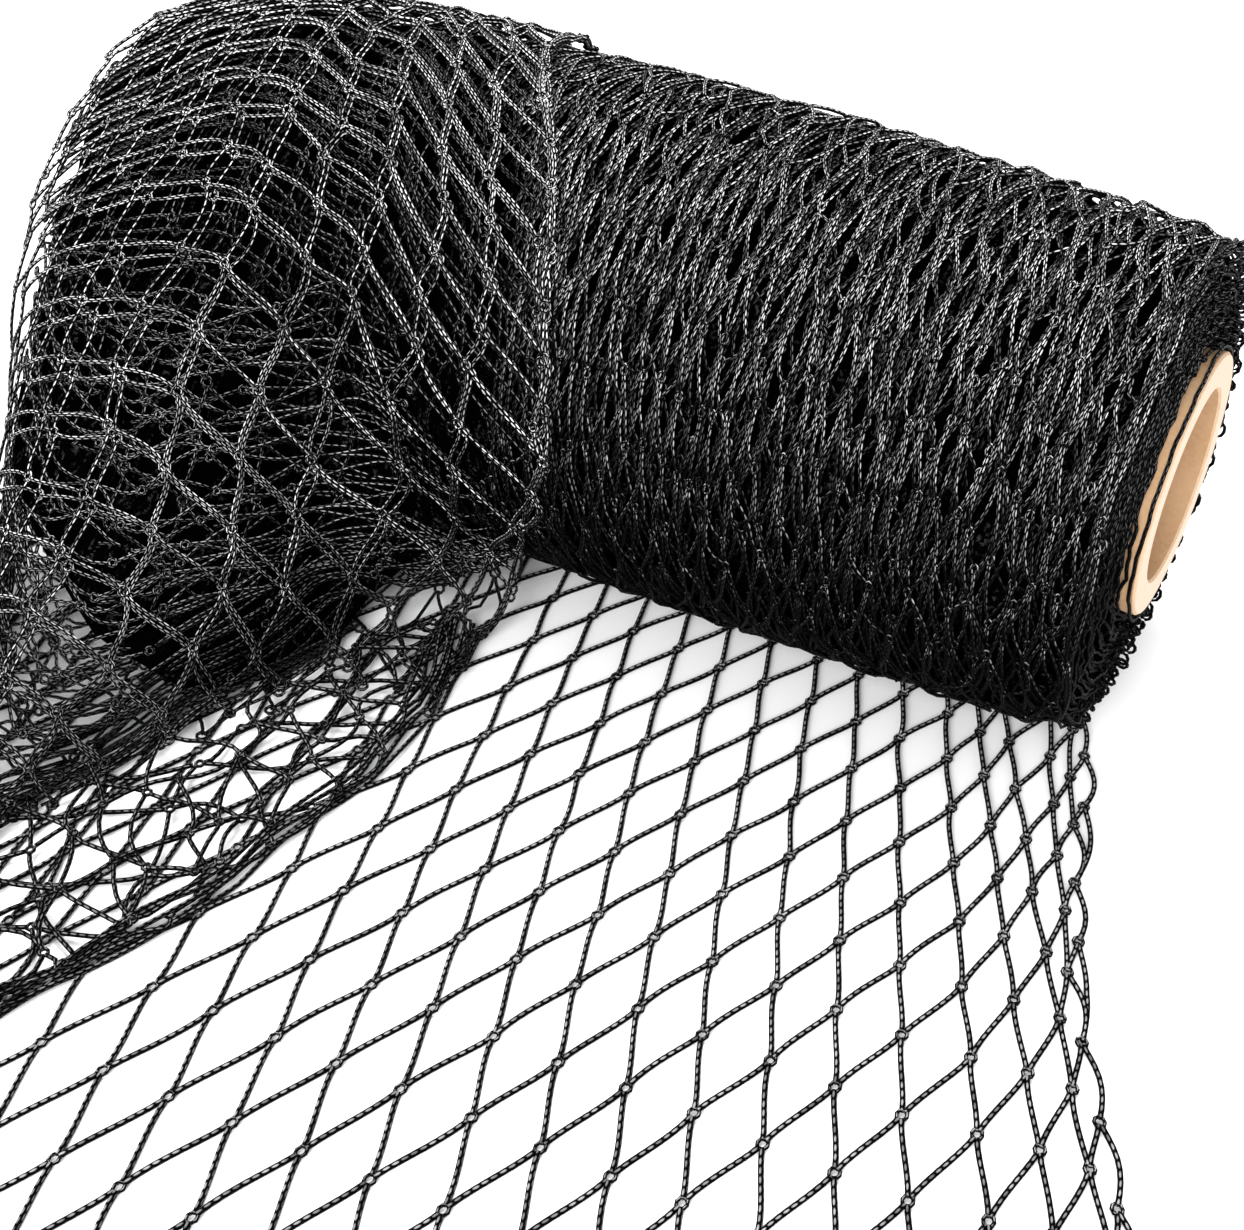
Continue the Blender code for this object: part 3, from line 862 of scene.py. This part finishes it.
def hood_uv(a, b):
    """Where the loosened turn's knots lie on its surface. a counts bars that run down to the
    right, b bars that run straight down, both from a knot in the middle of the slope. Over the
    top the net shifts to the right. To the left its knots lie higher, but sag at the far left,
    and to the right they lie lower, most of all over the top."""
    upper, lower = (read_straight(HOOD_ACROSS, a, "a", column) for column in ("upper", "lower"))
    u = upper + (lower - upper) * np.clip(b / 5, 0, 1.3) - 0.01 * np.clip(-b, 0, 3)
    v = read_straight(HOOD_DOWN, b, "b", "v")
    v = v + 0.016 * np.minimum(a, 0) + np.clip(0.012 * b, 0, 0.022) * np.maximum(a, 0)
    v = v + 0.03 * np.maximum(a - 1, 0) * ramp(b, 2, 0)
    v = v + 0.008 * np.clip(-1 - a, 0, 6) ** 2
    return u, v


def layer_uv(c, q, layer):
    """Where a layer's knots lie: c + q is twice a, and q - c is twice b."""
    a, b = (c + q) / 2 + layer.shift[0], (q - c) / 2 + layer.shift[1]
    stray = layer.stray * np.clip(-1 - a, 0, 5)
    return hood_uv(a + stray, b + stray)


def hang(surface, u, v, depth):
    """Places under the loosened turn's surface, but clear of the net that is laid out."""
    points, normals = surface.at(u, v, -depth)
    points[..., 2] = np.maximum(points[..., 2], TWINE_R + 1.5 * MM)
    return points, normals


def make_hood_layer(surface, name, layer, material, *nodes):
    def place(c, q):
        return hang(surface, *layer_uv(c, q, layer), layer.offset)

    def keep(c, q):
        u, v = layer_uv(c, q, layer)
        low = np.minimum(layer.v_range[1], surface.foot_at(u) + HOOD_PAST_FOOT)
        return (u > HOOD_U[0]) & (u < HOOD_U[1]) & (v > layer.v_range[0]) & (v < low)

    look = NetLook(7, 0.65, 1.3 * MM, 0.6 * MM, TWINE_R, 0.0, STRAIGHT_UP)
    lattice = Lattice(Twine(name, seed=layer.seed), place, keep, (-34, 34), (-34, 34), look)
    lattice.draw(wide=1.25 * KNOT_WIDE, long=1.3 * KNOT_LONG)
    return lattice.make(material, *nodes)


def gathered_uv(surface, offset, c, q):
    """Inner turns gathered into folds that run along the roll: c counts steps down the slope, q
    steps along the roll. Low down the folds follow the loosened turn's foot."""
    u = 0.98 - q * GATHER_ALONG / DRAPE_WIDTH
    foot, level = surface.foot_at(u), surface.foot_at(0.55)
    follow = np.interp(c, (-14, 4, 16), (0.25, 0.5, 1.0))
    v = level + follow * (foot - level) - (20 - c) * GATHER_DOWN / DRAPE_LENGTH
    return u, v + 0.008 * np.sin(9 * u + 1.3) + 0.006 * np.sin(31 * u + 0.4 * c + offset * 900)


def make_gathered_layer(surface, index, layer, material):
    def place(c, q):
        return hang(surface, *gathered_uv(surface, layer.offset, c, q), layer.offset)

    def keep(c, q):
        u, v = gathered_uv(surface, layer.offset, c, q)
        edge = np.interp(u, MASS_EDGE_U, MASS_EDGE_V) + 0.025
        low = np.where(u < 0.42, edge, surface.foot_at(u) + 0.02)
        return (v < low) & ((u > 0.2) | (v > 0.5))

    twine = Twine(f"gathered_{index}", seed=60 + index)
    look = NetLook(6, 0.5, 1.6 * MM, 1.6 * MM, INNER_R, 0.0, STRAIGHT_UP)
    lattice = Lattice(twine, place, keep, layer.rows, (0, 9), look)
    lattice.draw()
    return lattice.make(material)


def make_hood_mass(surface, material, columns=36, rows=60):
    """The inner turns under the loosened one: a thick dark sheet a little way inside it, which
    comes down to the floor where the net does. It lies nearer the net towards its foot and at its
    left edge."""
    u, w = np.meshgrid(np.linspace(0.03, 1.0, columns), np.linspace(0.02, 1, rows), indexing="ij")
    v = w * np.minimum(surface.foot_at(u), np.interp(u, MASS_EDGE_U, MASS_EDGE_V))
    inset = MASS_DEPTH - 6.0 * MM * ramp(w, 0.6, 1) ** 1.5
    inset = inset - 4.5 * MM * ramp(u, 0.8, 0.95) * ramp(w, 0.6, 0.4)
    lump = 1.4 * MM * np.sin(23 * u + 11 * w) * np.sin(37 * w - 9 * u)
    lump = lump + 0.8 * MM * np.sin(61 * w + 40 * u)
    outer, _ = surface.at(u, v, lump - inset)
    inner, _ = surface.at(u, v, lump - inset - MASS_THICKNESS)
    outer[..., 2] = np.maximum(outer[..., 2], 1.6 * MM)
    inner[..., 2] = np.maximum(inner[..., 2], 0.8 * MM)
    number = np.arange(u.size).reshape(u.shape)
    skin = number.size
    corners = [number[:-1, :-1], number[1:, :-1], number[1:, 1:], number[:-1, 1:]]
    outside, inside = np.stack(corners, axis=-1), np.stack(corners[::-1], axis=-1) + skin
    edge = np.concatenate([number[0, :-1], number[:-1, -1], number[-1, :0:-1], number[:0:-1, 0]])
    on = np.roll(edge, -1)
    rim = np.stack([edge, on, on + skin, edge + skin], axis=-1)
    faces = np.concatenate([np.stack([outside, inside], axis=2).reshape(-1, 4), rim])
    place_on_roll(add_mesh("hood_mass", np.stack([outer, inner]), faces, material))


def pool_edge(count=140):
    """The slack net's edge on the floor: down its right side, then along its front."""
    low, high = POOL_RIGHT_Y
    right = [(row.x, row.y) for row in DRAPE_RIGHT[::-1] if low <= row.y <= high]
    return resample(POOL_START + right + POOL_CORNER, count)


def pool_right():
    """The right side of that edge, from front to back: its y and its x."""
    edge = pool_edge()
    side = edge[:np.argmax(edge[:, 1] <= POOL_FRONT)][::-1]
    return side[:, 1], side[:, 0]


def half_length(width):
    """Half the length of a mesh that is opened to twice this width."""
    return math.sqrt(MESH_SIDE ** 2 - width ** 2)


def pool_even(layer, c, q):
    """Where a slack layer's knots would lie in even meshes."""
    turn = math.radians(layer.turn_deg)
    along, across = c * POOL_WIDTH, q * half_length(POOL_WIDTH)
    x = layer.x + along * math.cos(turn) - across * math.sin(turn)
    y = layer.y + along * math.sin(turn) + across * math.cos(turn)
    return x, y


def add_hem(twine):
    """The slack net's edge, rolled into a few bunched strands. Returns their whole length."""
    edge = pool_edge()
    outward = unit(np.gradient(edge, axis=0))[:, ::-1] * (-1, 1)
    far = np.linspace(0, 1, len(edge))
    for strand in range(HEM_STRANDS):
        phase = twine.chance.uniform(0, 2 * math.pi)
        sway = HEM_SWAY * np.sin((30 + 4 * strand) * far + phase) + 1.3 * strand * MM
        z = 1.6 * MM + 0.7 * MM * strand + 0.6 * MM * np.sin(55 * far + 2 * phase)
        points, normals = flat_points(*(edge - outward * sway[:, None]).T, z)
        twine.add(points[None], normals[None], SLACK_R)
    return HEM_STRANDS * np.linalg.norm(np.diff(edge, axis=0), axis=1).sum()


def make_pool_layer(surface, index, layer, material):
    """One layer of the slack net on the floor: an open net, turned, with its rows pulled out of
    line, folded back at the slack net's edge. The first one carries the hem, whose length comes
    back last."""
    across = np.linspace(0, 1, 60)
    foot, _ = surface.at(across, surface.foot_at(across))
    right = pool_right()

    def place(c, q):
        x, y = pool_even(layer, c, q)
        x = x + 4 * MM * np.sin(y / (19 * MM) + layer.turn_deg) + 2 * MM * np.sin(x / (9 * MM))
        y = y + 4 * MM * np.sin(x / (23 * MM) + 2 * layer.turn_deg)
        past = np.maximum(x - np.interp(y, *right) + 2 * MM, 0)
        low = np.maximum(POOL_FRONT + 2 * MM - y, 0)
        x, y = x - past * FOLD_BACK, y + low * FOLD_BACK
        z = layer.lift + 1.2 * MM * np.sin(x / (14 * MM) + y / (11 * MM) + layer.turn_deg)
        return flat_points(x, y, np.maximum(z, 0) + SLACK_R)

    def keep(c, q):
        x, y = pool_even(layer, c, q)
        top = np.interp(x, foot[::-1, 0], foot[::-1, 1]) + POOL_UNDER
        inside = (x > POOL_LEFT) & (x < np.interp(y, *right) + 5 * MM)
        return inside & (y > POOL_FRONT - 6 * MM) & (y < top)

    twine = Twine(f"pool_{index}", seed=70 + index)
    look = NetLook(5, 0.4, 1.6 * MM, 1.8 * MM, SLACK_R, 0.0, (0.0, -0.5, 0.0))
    lattice = Lattice(twine, place, keep, (-16, 16), (-16, 16), look)
    lattice.draw()
    hem = add_hem(twine) if index == 0 else 0.0
    return *lattice.make(material), hem


def half_girth(radius):
    """Half the distance round a strand."""
    return TWINE_SIDES * math.sin(math.pi / TWINE_SIDES) * radius


def declare(net, knots, columns, held, rests_on, radius=TWINE_R, width=SLACK_WIDTH, hem=0.0):
    """Works out the flat area of a net. The net itself, how many half meshes wide it is cut and how
    open its meshes lie are not used.
    Its flat area is the twine's own, half the surface of its tubes, without the openings. hem is
    the length of further strands along its edge."""
    bars = 2 * MESH_SIDE * (1 - 2 * TRIM) * half_girth(radius)
    area = knots * (bars + math.pi * (KNOT_LONG + KNOT_WIDE) * half_girth(KNOT_R))
    area += hem * half_girth(radius)


# ---------------------------------------------------------------- scene

def add_light(name, energy, place, turn_deg):
    light = bpy.data.lights.new(name, "AREA")
    light.shape = "DISK"
    light.size = 0.9
    light.energy = energy
    lamp = add_object(name, light)
    lamp.location = place
    lamp.rotation_euler = [math.radians(angle) for angle in turn_deg]


def make_stage():
    bpy.ops.mesh.primitive_plane_add(size=6)
    floor = bpy.context.object
    floor.name = "floor"
    nodes = Nodes("floor")
    nodes.shade((0.97, 0.97, 0.97), 0.9)
    floor.data.materials.append(nodes.material)
    world = bpy.data.worlds.new("studio")
    bpy.context.scene.world = world
    world.use_nodes = True
    background = world.node_tree.nodes["Background"].inputs
    background["Color"].default_value = (1, 1, 1, 1)
    background["Strength"].default_value = 1.22
    add_light("key", 24, (-0.35, 0.55, 1.5), (-20, -13, 0))
    add_light("fill", 21, (0.15, -1.2, 0.75), (58, 0, 5))


def make_camera():
    data = bpy.data.cameras.new("camera")
    data.sensor_width = 36
    data.sensor_fit = "HORIZONTAL"
    data.lens = CAMERA_LENS
    data.clip_start = 0.01
    camera = add_object("camera", data)
    camera.location = CAMERA_PLACE
    camera.rotation_euler = (math.radians(90 + CAMERA_PITCH), 0, math.radians(-CAMERA_YAW))
    bpy.context.scene.camera = camera


def main():
    bpy.context.scene.view_settings.view_transform = "Standard"
    make_camera()
    make_stage()
    # These are lit and shaded copies of one twine with painted highlights: paler on the outer, lit nets,
    # dimmer on the layers under them and inside the roll, as painted shade
    laid = make_twine_material("laid_twine", 0.29, 0.125)
    hung = make_twine_material("hung_twine", 0.85, up=(-0.45, 0.6), painted_shade=NEAR_FLOOR)
    second_shaded = make_twine_material("second_twine", 0.3, painted_shade=NEAR_FLOOR)
    inner = make_twine_material("inner_twine", 0.22, painted_shade=NEAR_FLOOR)
    gathered = make_twine_material("gathered_twine", 0.42, up=(-0.45, 0.6), painted_shade=NEAR_FLOOR)
    wound = make_twine_material("wound_twine", 0.76, painted_shade=DOWN_FRONT)
    wound_inner_shaded = make_twine_material("wound_inner_twine", 0.17, painted_shade=DOWN_FRONT)
    slack = make_twine_material("slack_twine", 0.17, 0.125)
    packed = make_body_material()
    bpy.data.objects["core"].material_slots[0].material = make_cardboard_material()

    declare(*make_apron(laid), 55, "laid", "wound_body", LAID_R, LAID_WIDTH)
    make_wound_body(packed)
    for index, layer in enumerate(WOUND_LAYERS):
        make_wound_turns(index, layer, wound if index < WHOLE_LAYERS else wound_inner_shaded)
    for side in (-1, 1):
        make_end_turns(side, wound_inner_shaded)
    surface = make_drape_surface()
    make_hood_mass(surface, packed)
    hood = make_hood_layer(surface, "hood_net", HOOD_OUTER, hung, "net_drape")
    declare(*hood, 16, "draped", "wound_body")
    for index, (layer, material) in enumerate(zip(HOOD_LAYERS, (hung, second_shaded, inner, inner))):
        under = make_hood_layer(surface, f"hood_under_{index}", layer, material)
        declare(*under, 16, "draped", "wound_body")
    for index, layer in enumerate(POOL_LAYERS):
        pool, knots, hem = make_pool_layer(surface, index, layer, slack)
        declare(pool, knots, 14, "laid", "apron_net", SLACK_R, hem=hem)
    for index, layer in enumerate(GATHERED_LAYERS):
        under = make_gathered_layer(surface, index, layer, gathered)
        declare(*under, 16, "gathered", "wound_body", INNER_R)


main()
